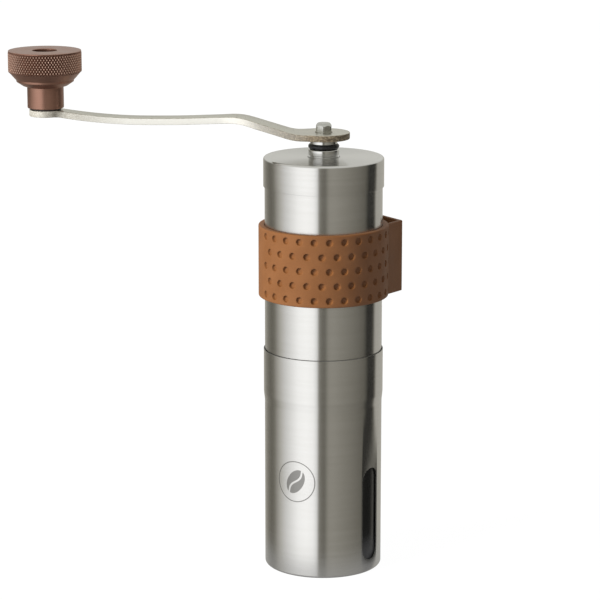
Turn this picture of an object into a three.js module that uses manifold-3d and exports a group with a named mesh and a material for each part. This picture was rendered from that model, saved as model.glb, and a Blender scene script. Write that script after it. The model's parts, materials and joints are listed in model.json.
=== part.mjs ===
// Hand crank coffee grinder: a steel cup, a hopper tube with a conical burr mill inside,
// a slip-on lid, a removable crank with a turned knob, and a silicone grip band.
// Millimetres, +Z up. The origin is the centre of the cup's flat bottom, and the crank
// points along -X. Every round piece but the knob is centred on the Z axis.
import * as THREE from 'three';
import { mergeVertices } from 'three/addons/utils/BufferGeometryUtils.js';
import Module from 'manifold-3d';

const wasm = await Module();
wasm.setup();

// ---------------------------------------------------------------- driving dimensions
const SHELL_SIDES = 48;         // sides of the large nested shells
const MEDIUM_SIDES = 40;        // sides of the burrs and the knob
const SMALL_SIDES = 24;         // sides of the small turned pieces
const REST = 0.3;               // gap between two pieces that rest on each other
const RUNNING = 0.1;            // radial clearance of a shaft in its bush
const SLIP = 0.15;              // radial clearance of pieces that slide over each other

const SHEET = 0.5;              // steel sheet of the cup, tube and lid
const TUBE_R = 24.5;            // outside of the hopper tube
const CUP_R = 24.6;             // outside of the cup below its flared mouth
const MOUTH_R = 25;             // outside of the flared mouth
const MOUTH_TOP = 93.9;
const TAPER_TOP = 75.4;
const TAPER_LOW = 71.6;
const CUP_EDGE = 1.2;           // rounding of the cup's bottom edge

const LID_R = 25.05;
const LID_TOP = 175;
const LID_SKIRT = 12.2;         // height of the lid's skirt
const LID_EDGE = 1;             // rounding of the lid's top edge

const WINDOW_AZIMUTH = -35.7;   // degrees from +X, direction that the cup's window faces
const WINDOW_WIDTH = 10.1;
const WINDOW_LOW = 5.4;
const WINDOW_HIGH = 45.4;

const BAND_R = 27.1;
const BAND_LOW = 116.7;
const BAND_HIGH = 146.7;
const POCKET_AZIMUTH = 35;      // degrees from +X, direction that the crank pocket faces
const POCKET_FACE = 31.8;       // distance of the pocket's flat face from the axis
const POCKET_WALL = 1.6;
const POCKET_HALF_OUT = 12.5;   // half length of the pocket at its flat face
const POCKET_HALF_IN = 15.6;    // half length where its short walls meet the band
const POCKET_ROOT = 22.3;       // distance of that meeting line from the axis

const SHAFT_R = 3.5;
const HEX_ACROSS = 6.4;         // across the flats of the shaft's top end
const DRIVE_ACROSS = 5.6;       // across the flats of the shaft's lower drive
const THREAD_R = 2.4;
const SHAFT_TOP = 189.1;
const HEX_LOW = 181.9;
const SHAFT_LOW = 75.9;

const COLLAR_R = 6.4;
const COLLAR_TOP = 182.2;
const NECK_Z = 175.5;           // middle of the collar's small groove over the lid
const NECK_DEPTH = 0.5;
const RING_SECTION_R = 0.95;    // O-ring section
const RING_R = 5.5;             // O-ring centre line
const RING_Z = 179.45;

const ARM_THICK = 2.7;
const ARM_HALF = 4.5;           // half width along the middle of the arm
const SHOULDER_HALF = 7.6;      // half width where the arm nears its hub
const HUB_R = 10.8;
const HUB_Z = 183.9;            // mid thickness of the flat hub
const PAD_R = 6.8;
const PAD_Z = 193.25;           // mid thickness of the flat knob pad
const KNOB_X = -114.5;          // knob axis

const KNOB_R = 15.1;
const KNOB_LOW = 195.2;
const KNOB_STEM = 8.8;          // height of the stem
const KNOB_GRIP = 8.9;          // height of the knurled rim
const KNOB_TOP = 218.95;
const STUD_R = 2.4;

const BURR_R = 18.5;            // outside of the outer burr
const BURR_LOW = 83;            // foot and top of the inner burr
const BURR_TOP = 98;
const CARRIER_R = 23.7;
const FLUTES = 6;               // coarse flutes of each burr
const FINE_TEETH = 20;          // fine grooves at the burrs' grinding rim
const SPOKE_HALF = 1.5;         // half width of the spokes that hold the bearings

// ---------------------------------------------------------------- materials
function finish(color, roughness, metalness) {
  return new THREE.MeshStandardMaterial({ color, roughness, metalness });
}

const brushedSteel = finish(0xb9b8b2, 0.32, 1);
const polishedSteel = finish(0xd0d0ce, 0.12, 1);
const nickelSteel = finish(0xbdbcae, 0.35, 1);
const springSteel = finish(0x9a9a98, 0.3, 1);
const anodised = finish(0x6b4a3a, 0.4, 0.9);
const silicone = finish(0xa5673f, 0.6, 0);
const smokedPlastic = finish(0x3a3d3e, 0.15, 0);
const blackRubber = finish(0x17181a, 0.6, 0);
const blackPlastic = finish(0x202224, 0.5, 0);
const whitePlastic = finish(0xd9d8d2, 0.45, 0);
const ceramic = finish(0xe9e5da, 0.5, 0);
const brass = finish(0xb58f45, 0.35, 1);

// ---------------------------------------------------------------- solids and booleans
// The merged, outward-facing triangles of a closed geometry, as a manifold-3d solid.
function solidOf(geometry) {
  const bare = geometry.clone();
  bare.deleteAttribute('normal');
  bare.deleteAttribute('uv');
  const merged = mergeVertices(bare, 1e-4);
  const at = merged.attributes.position.array;
  const index = merged.index.array;
  const corners = [];
  for (let i = 0; i < index.length; i += 3) {
    const [a, b, c] = [index[i], index[i + 1], index[i + 2]];
    if (a !== b && b !== c && c !== a) {
      corners.push(a, b, c);
    }
  }
  if (signedVolume(at, corners) < 0) {
    corners.reverse();
  }
  const mesh = new wasm.Mesh({
    numProp: 3,
    vertProperties: new Float32Array(at),
    triVerts: new Uint32Array(corners),
  });
  return new wasm.Manifold(mesh);
}

function signedVolume(at, corners) {
  const [a, b, c] = [new THREE.Vector3(), new THREE.Vector3(), new THREE.Vector3()];
  let volume = 0;
  for (let i = 0; i < corners.length; i += 3) {
    a.fromArray(at, 3 * corners[i]);
    b.fromArray(at, 3 * corners[i + 1]);
    c.fromArray(at, 3 * corners[i + 2]);
    volume += a.dot(b.cross(c)) / 6;
  }
  return volume;
}

function geometryOf(solid) {
  const mesh = solid.getMesh();
  const geometry = new THREE.BufferGeometry();
  geometry.setAttribute('position', new THREE.Float32BufferAttribute(mesh.vertProperties, 3));
  geometry.setIndex(new THREE.Uint32BufferAttribute(mesh.triVerts, 1));
  geometry.computeVertexNormals();
  return geometry;
}

function join(first, ...others) {
  let solid = solidOf(first);
  for (const other of others) {
    solid = solid.add(solidOf(other));
  }
  return geometryOf(solid);
}

function cut(first, ...tools) {
  let solid = solidOf(first);
  for (const tool of tools) {
    solid = solid.subtract(solidOf(tool));
  }
  return geometryOf(solid);
}

function common(first, second) {
  return geometryOf(solidOf(first).intersect(solidOf(second)));
}

// ---------------------------------------------------------------- shape helpers
const radians = THREE.MathUtils.degToRad;

// A turned piece about Z from a profile of [radius, height] points, closed on itself
// unless it starts and ends on the axis.
function turned(profile, sides = SMALL_SIDES) {
  const points = profile.map(([r, z]) => new THREE.Vector2(r, z));
  const onAxis = points[0].x === 0 && points.at(-1).x === 0;
  if (!onAxis) {
    points.push(points[0].clone());
  }
  const geometry = new THREE.LatheGeometry(points, sides);
  geometry.rotateX(Math.PI / 2);
  return geometryOf(solidOf(geometry));
}

// A plain ring, or a disc when the inner radius is 0.
function ring(inner, outer, low, high, sides = SMALL_SIDES) {
  return turned([[inner, low], [outer, low], [outer, high], [inner, high]], sides);
}

// A flat outline raised from one height to another.
function prism(shape, low, high, curveSegments = 12) {
  const geometry = new THREE.ExtrudeGeometry(shape, {
    depth: high - low,
    bevelEnabled: false,
    curveSegments,
  });
  geometry.translate(0, 0, low);
  return geometry;
}

function polygon(points) {
  return new THREE.Shape(points.map(([x, y]) => new THREE.Vector2(x, y)));
}

function hexagon(across) {
  const corner = across / Math.sqrt(3);
  const points = [];
  for (let i = 0; i < 6; i += 1) {
    const angle = radians(60 * i + 30);
    points.push([corner * Math.cos(angle), corner * Math.sin(angle)]);
  }
  return polygon(points);
}

function box(low, high) {
  const size = high.map((value, i) => value - low[i]);
  const geometry = new THREE.BoxGeometry(...size);
  geometry.translate(...high.map((value, i) => (value + low[i]) / 2));
  return geometry;
}

// Points of a quarter rounding from one angle to another, in degrees.
function arc(centreR, centreZ, radius, from, to, steps = 2) {
  const points = [];
  for (let i = 0; i <= steps; i += 1) {
    const angle = radians(from + (to - from) * i / steps);
    points.push([centreR + radius * Math.cos(angle), centreZ + radius * Math.sin(angle)]);
  }
  return points;
}

// Copies of a geometry turned evenly about Z.
function around(count, make, start = 0) {
  const copies = [];
  for (let i = 0; i < count; i += 1) {
    const copy = make(i);
    copy.rotateZ(radians(start + 360 * i / count));
    copies.push(copy);
  }
  return copies;
}

// ---------------------------------------------------------------- cup and window
function cupShell() {
  const inner = CUP_R - SHEET;
  const mouthInner = MOUTH_R - SHEET + REST / 2;
  const bottomInner = CUP_EDGE - SHEET;
  const shell = turned([
    [0, 0],
    ...arc(CUP_R - CUP_EDGE, CUP_EDGE, CUP_EDGE, -90, 0, 3),
    [CUP_R, TAPER_LOW],
    [MOUTH_R, TAPER_TOP],
    [MOUTH_R, MOUTH_TOP],
    [mouthInner, MOUTH_TOP],
    [mouthInner, TAPER_TOP],
    [inner, TAPER_LOW],
    ...arc(CUP_R - CUP_EDGE, CUP_EDGE, bottomInner, 0, -90),
    [0, SHEET],
  ], SHELL_SIDES);
  return cut(shell, windowCutter());
}

// A long oval with round ends, pushed out through one wall of the cup.
function windowCutter() {
  const half = WINDOW_WIDTH / 2;
  const oval = new THREE.Shape();
  oval.absarc(0, WINDOW_HIGH - half, half, 0, Math.PI, false);
  oval.absarc(0, WINDOW_LOW + half, half, Math.PI, 2 * Math.PI, false);
  oval.closePath();
  const cutter = prism(oval, CUP_R / 2, CUP_R + 5, 10);
  cutter.rotateX(Math.PI / 2);
  cutter.rotateZ(radians(90 + WINDOW_AZIMUTH));
  return cutter;
}

function windowLiner() {
  const outer = CUP_R - SHEET - REST;
  const wall = 1;
  const floor = SHEET + REST;
  const top = TAPER_LOW - 0.8;
  return turned([
    [0, floor],
    [outer - CUP_EDGE, floor],
    [outer, floor + CUP_EDGE],
    [outer, top],
    [outer - wall, top],
    [outer - wall, floor + wall + CUP_EDGE],
    [outer - wall - CUP_EDGE, floor + wall],
    [0, floor + wall],
  ], SHELL_SIDES);
}

// ---------------------------------------------------------------- tube, band and lid
const TUBE_LOW = TAPER_TOP + REST;
const TUBE_TOP = LID_TOP - LID_EDGE - 0.2;

function hopperTube() {
  return ring(TUBE_R - SHEET, TUBE_R, TUBE_LOW, TUBE_TOP, SHELL_SIDES);
}

// A ring round the tube with a flat-faced pocket loop, open above and below.
function gripBand() {
  const bore = TUBE_R + SLIP;
  const outline = polygon([
    [POCKET_ROOT, -POCKET_HALF_IN],
    [POCKET_FACE, -POCKET_HALF_OUT],
    [POCKET_FACE, POCKET_HALF_OUT],
    [POCKET_ROOT, POCKET_HALF_IN],
  ]);
  const hollowFace = POCKET_FACE - POCKET_WALL;
  const hollow = polygon([
    [POCKET_ROOT - 5, -POCKET_HALF_IN],
    [hollowFace, POCKET_WALL - POCKET_HALF_OUT],
    [hollowFace, POCKET_HALF_OUT - POCKET_WALL],
    [POCKET_ROOT - 5, POCKET_HALF_IN],
  ]);
  const loop = cut(
    prism(outline, BAND_LOW, BAND_HIGH),
    prism(hollow, BAND_LOW - 1, BAND_HIGH + 1),
  );
  loop.rotateZ(radians(POCKET_AZIMUTH));
  const band = ring(TUBE_R - 2, BAND_R, BAND_LOW, BAND_HIGH, SHELL_SIDES);
  return cut(join(band, loop), ring(0, bore, BAND_LOW - 1, BAND_HIGH + 1, SHELL_SIDES));
}

const LID_HOLE = COLLAR_R + 0.3;

function lidShell() {
  const inner = TUBE_R + SLIP;
  const skirt = LID_TOP - LID_SKIRT;
  return turned([
    [LID_HOLE, LID_TOP],
    ...arc(LID_R - LID_EDGE, LID_TOP - LID_EDGE, LID_EDGE, 90, 0),
    [LID_R, skirt],
    [inner, skirt],
    ...arc(LID_R - LID_EDGE, LID_TOP - LID_EDGE, LID_EDGE - SHEET, 0, 90, 1),
    [LID_HOLE, LID_TOP - SHEET],
  ], SHELL_SIDES);
}

// ---------------------------------------------------------------- shaft and its bearings
const SPIDER_LOW = 158;
const SPIDER_TOP = 164;
const SPIDER_HUB_R = 7.6;
const BUSH_R = 5;
const BUSH_BORE = SHAFT_R + RUNNING;
const BUSH_FLANGE_R = 6.8;
const BUSH_FLANGE = 1.2;
const CLIP_GROOVE_R = 2.85;
const CLIP_LOW = 154.2;
const CLIP_THICK = 0.8;
const HEX_CHAMFER = 1.2;

function driveShaft() {
  const grooveLow = CLIP_LOW - 0.1;
  const grooveTop = CLIP_LOW + CLIP_THICK + 0.1;
  const shoulder = BURR_TOP + 1;
  const rod = turned([
    [0, SHAFT_LOW],
    [THREAD_R - 0.4, SHAFT_LOW],
    [THREAD_R, SHAFT_LOW + 0.4],
    [THREAD_R, shoulder],
    [SHAFT_R, shoulder],
    [SHAFT_R, grooveLow],
    [CLIP_GROOVE_R, grooveLow],
    [CLIP_GROOVE_R, grooveTop],
    [SHAFT_R, grooveTop],
    [SHAFT_R, HEX_LOW],
    [0, HEX_LOW],
  ]);
  const lowerDrive = prism(hexagon(DRIVE_ACROSS), BURR_LOW - 2, shoulder + 0.5);
  const topDrive = common(
    prism(hexagon(HEX_ACROSS), HEX_LOW - 1, SHAFT_TOP),
    turned([
      [0, HEX_LOW - 2],
      [SHAFT_R, HEX_LOW - 2],
      [SHAFT_R, SHAFT_TOP - HEX_CHAMFER],
      [SHAFT_R - 0.75 * HEX_CHAMFER, SHAFT_TOP],
      [0, SHAFT_TOP],
    ]),
  );
  return join(rod, lowerDrive, topDrive);
}

// A flanged plain bearing whose flange rests on its hub.
function bush(low, hubTop) {
  return turned([
    [BUSH_BORE, low],
    [BUSH_R, low],
    [BUSH_R, hubTop + REST],
    [BUSH_FLANGE_R, hubTop + REST],
    [BUSH_FLANGE_R, hubTop + REST + BUSH_FLANGE],
    [BUSH_BORE, hubTop + REST + BUSH_FLANGE],
  ]);
}

function shaftSpider() {
  const outer = TUBE_R - SHEET - 0.2;
  const rim = ring(outer - 1.6, outer, SPIDER_LOW, SPIDER_TOP, SHELL_SIDES);
  const hub = ring(BUSH_R - 1, SPIDER_HUB_R, SPIDER_LOW, SPIDER_TOP);
  const arms = around(3, () => box(
    [BUSH_R, -SPOKE_HALF, SPIDER_LOW + 1],
    [outer - 0.8, SPOKE_HALF, SPIDER_TOP - 1],
  ));
  const bore = ring(0, BUSH_R + RUNNING, SPIDER_LOW - 1, SPIDER_TOP + 1);
  return cut(join(rim, hub, ...arms), bore);
}

function thrustWasher() {
  return ring(SHAFT_R + RUNNING, BUSH_FLANGE_R, CLIP_LOW + CLIP_THICK + 0.2, SPIDER_LOW - 1.8);
}

// An open clip that snaps into the shaft's groove.
function retainingClip() {
  const opening = radians(35);
  const outer = 5.4;
  const shape = new THREE.Shape();
  shape.absarc(0, 0, outer, opening, 2 * Math.PI - opening, false);
  shape.absarc(0, 0, CLIP_GROOVE_R + RUNNING, 2 * Math.PI - opening, opening, true);
  shape.closePath();
  return prism(shape, CLIP_LOW, CLIP_LOW + CLIP_THICK, 20);
}

const GROOVE_HALF = RING_SECTION_R + 0.1;
const COLLAR_LOW = SPIDER_TOP + BUSH_FLANGE + 2 * REST;

function shaftCollar() {
  const grooveR = RING_R - GROOVE_HALF;
  const bore = SHAFT_R + 0.05;
  const edge = 0.5;
  const flange = COLLAR_R - 1.3;
  const neck = COLLAR_R - NECK_DEPTH;
  return turned([
    [bore, COLLAR_LOW],
    [COLLAR_R, COLLAR_LOW],
    [COLLAR_R, NECK_Z - 0.4],
    [neck, NECK_Z - 0.3],
    [neck, NECK_Z + 0.3],
    [COLLAR_R, NECK_Z + 0.4],
    ...arc(COLLAR_R - edge, RING_Z - GROOVE_HALF - edge, edge, 0, 90),
    [grooveR, RING_Z - GROOVE_HALF],
    [grooveR, RING_Z + GROOVE_HALF],
    [flange, RING_Z + GROOVE_HALF],
    [flange, COLLAR_TOP - 0.3],
    [flange - 0.3, COLLAR_TOP],
    [bore, COLLAR_TOP],
  ]);
}

function collarRing() {
  const section = arc(RING_R, RING_Z, RING_SECTION_R, 0, 315, 7);
  return turned(section);
}

// ---------------------------------------------------------------- mill
const SEAT_Z = BURR_TOP + 0.1;  // ledge of the carrier over the outer burr
const THROAT_R = 13;
const FUNNEL_TOP = 118;
const CARRIER_LOW = 79;
const RETAINER_R = 22;
const RETAINER_TOP = CARRIER_LOW + 3;
const CARRIER_HUB_LOW = 106;
const CARRIER_HUB_TOP = 116;

function burrCarrier() {
  const sleeveBore = BURR_R + 0.2;
  const recessR = RETAINER_R + 0.2;
  const recessTop = RETAINER_TOP + REST;
  const shell = turned([
    [CARRIER_R, CARRIER_LOW],
    [CARRIER_R, FUNNEL_TOP],
    [CARRIER_R - 1.2, FUNNEL_TOP],
    [THROAT_R, SEAT_Z + 1.6],
    [THROAT_R, SEAT_Z],
    [sleeveBore, SEAT_Z],
    [sleeveBore, recessTop],
    [recessR, recessTop],
    [recessR, CARRIER_LOW],
  ], SHELL_SIDES);
  const hub = ring(BUSH_R - 1, BUSH_R + 2.2, CARRIER_HUB_LOW, CARRIER_HUB_TOP);
  const spokes = around(3, () => box(
    [BUSH_R, -SPOKE_HALF, CARRIER_HUB_LOW + 2],
    [CARRIER_R - 0.6, SPOKE_HALF, CARRIER_HUB_TOP - 1],
  ), 60);
  const bore = ring(0, BUSH_R + RUNNING, CARRIER_HUB_LOW - 1, CARRIER_HUB_TOP + 1);
  return cut(join(shell, hub, ...spokes), bore);
}

// A square bar laid edge-on along a cone's surface, leaning sideways by a skew angle.
function flute([topR, topZ], [lowR, lowZ], side, skew) {
  const start = new THREE.Vector3(lowR, 0, lowZ);
  const end = new THREE.Vector3(topR, 0, topZ);
  const along = end.clone().sub(start);
  const length = along.length() * 1.15;
  along.normalize();
  const sideways = new THREE.Vector3(0, 1, 0);
  const out = sideways.clone().cross(along);
  const bar = new THREE.BoxGeometry(side, side, length);
  bar.rotateZ(Math.PI / 4);
  bar.rotateX(radians(skew));
  const middle = start.add(end).multiplyScalar(0.5);
  const frame = new THREE.Matrix4().makeBasis(out, sideways, along).setPosition(middle);
  bar.applyMatrix4(frame);
  return bar;
}

const FLUTE_SIDE = 2.4;         // side of the square bar that cuts a coarse flute
const FINE_SIDE = 0.9;          // and of the one that cuts a fine groove

// The outer burr: its coarse flutes run from the throat to the break, the fine ones below it.
function ringBurr() {
  const low = RETAINER_TOP + 0.5;
  const top = SEAT_Z - REST;
  const mouth = [11.4, top];
  const waist = [12.2, 92];
  const teethBreak = [14.2, 87];
  const rim = [15.8, low];
  const blank = turned([[BURR_R, low], [BURR_R, top], mouth, waist, rim], MEDIUM_SIDES);
  const coarse = around(FLUTES, () => flute(mouth, teethBreak, FLUTE_SIDE, 22));
  const fine = around(FINE_TEETH, () => flute(teethBreak, rim, FINE_SIDE, 18));
  return cut(blank, ...coarse, ...fine);
}

function ringBurrRetainer() {
  const low = CARRIER_LOW + REST;
  const plate = ring(RETAINER_R - 5.4, RETAINER_R, low, RETAINER_TOP, SHELL_SIDES);
  const notches = around(3, () => box([18.6, -2.5, low - 1], [19.8, 2.5, RETAINER_TOP + 1]));
  return cut(plate, ...notches);
}

function innerBurr() {
  const neck = [7.2, BURR_TOP];
  const waist = [10.4, 91.6];
  const teethBreak = [13.2, 86.7];
  const rimR = 15.1;
  const blank = turned([
    [0, BURR_LOW],
    [rimR, BURR_LOW],
    [rimR, BURR_LOW + 0.6],
    waist,
    neck,
    [0, BURR_TOP],
  ], MEDIUM_SIDES);
  const coarse = around(FLUTES, () => flute(neck, teethBreak, FLUTE_SIDE, -24), 20);
  const fine = around(FINE_TEETH, () => flute(teethBreak, [rimR, BURR_LOW], FINE_SIDE, -20));
  const bore = prism(hexagon(DRIVE_ACROSS + 2 * SLIP), BURR_LOW - 1, BURR_TOP + 1);
  return cut(blank, ...coarse, ...fine, bore);
}

function springWasher() {
  return ring(SHAFT_R + SLIP, 6.6, BURR_TOP + 0.2, BURR_TOP + 1);
}

class Helix extends THREE.Curve {
  constructor(radius, low, high, turns) {
    super();
    this.radius = radius;
    this.low = low;
    this.high = high;
    this.turns = turns;
  }

  getPoint(t, target = new THREE.Vector3()) {
    const angle = 2 * Math.PI * this.turns * t;
    const z = this.low + (this.high - this.low) * t;
    return target.set(this.radius * Math.cos(angle), this.radius * Math.sin(angle), z);
  }
}

const SPRING_WIRE_R = 0.45;
const SPRING_R = 5;
const SPRING_LOW = BURR_TOP + 1.2;
const SPRING_HIGH = CARRIER_HUB_LOW - REST;

function burrSpring() {
  const inset = SPRING_WIRE_R + 0.05;
  const path = new Helix(SPRING_R, SPRING_LOW + inset, SPRING_HIGH - inset, 3.5);
  const section = new THREE.Shape().absarc(0, 0, SPRING_WIRE_R, 0, 2 * Math.PI, false);
  return new THREE.ExtrudeGeometry(section, { steps: 42, extrudePath: path, curveSegments: 4 });
}

const DIAL_TOP = BURR_LOW - 2.6;
const DIAL_LOW = DIAL_TOP - 3.8;

const CLICKS = 12;              // steps of the dial in one turn

function burrHub() {
  const low = DIAL_TOP + REST;
  const high = BURR_LOW - REST;
  const hubR = 9.4;
  const plate = ring(0, hubR, low, high);
  const clicks = around(CLICKS, () => box([5, -0.5, low - 1], [hubR + 1, 0.5, low + 0.6]), 7);
  const bore = prism(hexagon(DRIVE_ACROSS + 2 * SLIP), low - 1, high + 1);
  return cut(plate, ...clicks, bore);
}

const NUT_ACROSS = 8;

function adjustingDial() {
  const dialR = 11.5;
  const scallopR = 2.4;
  const plate = ring(0, dialR, DIAL_LOW, DIAL_TOP, MEDIUM_SIDES);
  const scallops = around(CLICKS, () => {
    const cutter = ring(0, scallopR, DIAL_LOW - 1, DIAL_TOP + 1, 16);
    cutter.translate(dialR + 1.5, 0, 0);
    return cutter;
  });
  const pocket = prism(hexagon(NUT_ACROSS + 2 * RUNNING), DIAL_LOW - 1, DIAL_TOP + 1);
  return cut(plate, ...scallops, pocket);
}

function dialNut() {
  const nut = prism(hexagon(NUT_ACROSS), DIAL_LOW + 0.2, DIAL_TOP - 0.2);
  return cut(nut, ring(0, THREAD_R + SLIP, DIAL_LOW - 1, DIAL_TOP + 1, 24));
}

// ---------------------------------------------------------------- crank
// Side view of the arm's mid thickness, as [x, z, bend radius], from pad to hub.
const ARM_LINE = [
  [KNOB_X - PAD_R - 1, PAD_Z, 0],
  [-109.9, PAD_Z, 20],
  [-89.4, 190, 225],
  [-60, 190, 400],
  [-34.5, 190.8, 25],
  [-12.2, HUB_Z, 20],
  [HUB_R + 1, HUB_Z, 0],
];

// The corner points joined by straight stretches, with each corner rounded to its radius.
function roundedLine(corners) {
  const points = corners.map(([x, z]) => new THREE.Vector2(x, z));
  const path = new THREE.Path();
  path.moveTo(points[0].x, points[0].y);
  for (let i = 1; i < points.length - 1; i += 1) {
    const back = points[i - 1].clone().sub(points[i]).normalize();
    const ahead = points[i + 1].clone().sub(points[i]).normalize();
    const bend = Math.PI - back.angleTo(ahead);
    const reach = corners[i][2] * Math.tan(bend / 2);
    const start = points[i].clone().addScaledVector(back, reach);
    const end = points[i].clone().addScaledVector(ahead, reach);
    path.lineTo(start.x, start.y);
    path.quadraticCurveTo(points[i].x, points[i].y, end.x, end.y);
  }
  path.lineTo(points.at(-1).x, points.at(-1).y);
  return path.getPoints(5);
}

// The bent strip's side view: the line offset by half the thickness to each side.
function stripOutline(line, thick) {
  const above = [];
  const below = [];
  line.forEach((point, i) => {
    const before = line[Math.max(i - 1, 0)];
    const after = line[Math.min(i + 1, line.length - 1)];
    const direction = after.clone().sub(before).normalize();
    const normal = new THREE.Vector2(-direction.y, direction.x);
    above.push(point.clone().addScaledVector(normal, thick / 2));
    below.push(point.clone().addScaledVector(normal, -thick / 2));
  });
  return new THREE.Shape([...above, ...below.reverse()]);
}

// Plan view of the arm: round hub, wide shoulder, slim middle, round knob pad.
function armPlan() {
  const hubLeave = radians(112);
  const padLeave = radians(50);
  const shoulderX = -26;
  const slimX = -44;
  const neckX = KNOB_X + 13.5;
  const hubX = HUB_R * Math.cos(hubLeave);
  const hubY = HUB_R * Math.sin(hubLeave);
  const padX = KNOB_X + PAD_R * Math.cos(padLeave);
  const padY = PAD_R * Math.sin(padLeave);
  const hubPull = [hubX - 5.5, hubY - 2.4];
  const padPull = [padX + 1.9, padY - 1.6];
  const shape = new THREE.Shape();
  shape.absarc(0, 0, HUB_R, -hubLeave, hubLeave, false);
  shape.bezierCurveTo(...hubPull, shoulderX + 7, SHOULDER_HALF, shoulderX, SHOULDER_HALF);
  shape.bezierCurveTo(shoulderX - 7, SHOULDER_HALF, slimX + 8, ARM_HALF, slimX, ARM_HALF);
  shape.lineTo(neckX, ARM_HALF);
  shape.bezierCurveTo(neckX - 4, ARM_HALF, ...padPull, padX, padY);
  shape.absarc(KNOB_X, 0, PAD_R, padLeave, 2 * Math.PI - padLeave, false);
  shape.bezierCurveTo(padPull[0], -padPull[1], neckX - 4, -ARM_HALF, neckX, -ARM_HALF);
  shape.lineTo(slimX, -ARM_HALF);
  shape.bezierCurveTo(slimX + 8, -ARM_HALF, shoulderX - 7, -SHOULDER_HALF, shoulderX, -SHOULDER_HALF);
  shape.bezierCurveTo(shoulderX + 7, -SHOULDER_HALF, hubPull[0], -hubPull[1], hubX, -hubY);
  return shape;
}

const STUD_FOOT_R = 3.7;        // countersunk foot of the knob's stud, flush under the pad
const STUD_FOOT = 1.3;          // depth of its cone
const PAD_TOP = PAD_Z + ARM_THICK / 2;
const PAD_UNDER = PAD_Z - ARM_THICK / 2;

function crankArm() {
  const strip = prism(stripOutline(roundedLine(ARM_LINE), ARM_THICK), -HUB_R - 2, HUB_R + 2);
  strip.rotateX(Math.PI / 2);
  const plate = common(strip, prism(armPlan(), HUB_Z - 5, PAD_Z + 5, 10));
  const hexHole = prism(hexagon(HEX_ACROSS + 2 * SLIP), HUB_Z - 5, HUB_Z + 5);
  const studHole = turned([
    [0, PAD_UNDER - 1],
    [STUD_FOOT_R + RUNNING, PAD_UNDER - 1],
    [STUD_FOOT_R + RUNNING, PAD_UNDER],
    [STUD_R + RUNNING, PAD_UNDER + STUD_FOOT],
    [STUD_R + RUNNING, PAD_Z + 5],
    [0, PAD_Z + 5],
  ]);
  studHole.translate(KNOB_X, 0, 0);
  return cut(plate, hexHole, studHole);
}

function knobWasher() {
  const washer = ring(STUD_R + RUNNING, 6.5, PAD_TOP + 0.1, KNOB_LOW - 0.1);
  washer.translate(KNOB_X, 0, 0);
  return washer;
}

const COUNTERBORE_R = 5.1;
const COUNTERBORE_LOW = KNOB_TOP - 6;
const KNOB_BORE = 3.4;

// The knob: knurled rim, 45 degree chamfer, a small step, a second chamfer and the stem.
function crankKnob() {
  const rimLow = KNOB_TOP - KNOB_GRIP;
  const stemTop = KNOB_LOW + KNOB_STEM;
  const stemR = 7.5;
  const stepR = 12;
  const knob = turned([
    [KNOB_BORE, KNOB_LOW],
    [stemR - 0.5, KNOB_LOW],
    [stemR, KNOB_LOW + 0.5],
    [stemR, stemTop],
    [stemR + 0.4, stemTop + 0.4],
    [9.5, stemTop + 0.7],
    [stepR, rimLow - 3.1],
    [stepR, rimLow - 2.9],
    [KNOB_R, rimLow],
    [KNOB_R, KNOB_TOP - 0.3],
    [KNOB_R - 0.3, KNOB_TOP],
    [COUNTERBORE_R, KNOB_TOP],
    [COUNTERBORE_R, COUNTERBORE_LOW],
    [KNOB_BORE, COUNTERBORE_LOW],
  ], MEDIUM_SIDES);
  knob.translate(KNOB_X, 0, 0);
  return knob;
}

function knobBush() {
  const low = KNOB_LOW + 0.1;
  const high = COUNTERBORE_LOW - 0.1;
  const sleeve = ring(STUD_R + RUNNING, KNOB_BORE - RUNNING, low, high);
  sleeve.translate(KNOB_X, 0, 0);
  return sleeve;
}

// A shouldered stud: countersunk foot in the pad, slotted head over the bush.
function knobStud() {
  const headLow = COUNTERBORE_LOW + 0.2;
  const headTop = headLow + 1.8;
  const headR = 4.3;
  const stud = turned([
    [0, PAD_UNDER],
    [STUD_FOOT_R, PAD_UNDER],
    [STUD_R, PAD_UNDER + STUD_FOOT],
    [STUD_R, headLow],
    [headR, headLow],
    [headR, headTop - 0.4],
    [headR - 0.4, headTop],
    [0, headTop],
  ]);
  const slot = box([-headR - 1, -0.5, headTop - 0.9], [headR + 1, 0.5, headTop + 1]);
  const slotted = cut(stud, slot);
  slotted.translate(KNOB_X, 0, 0);
  return slotted;
}

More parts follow.
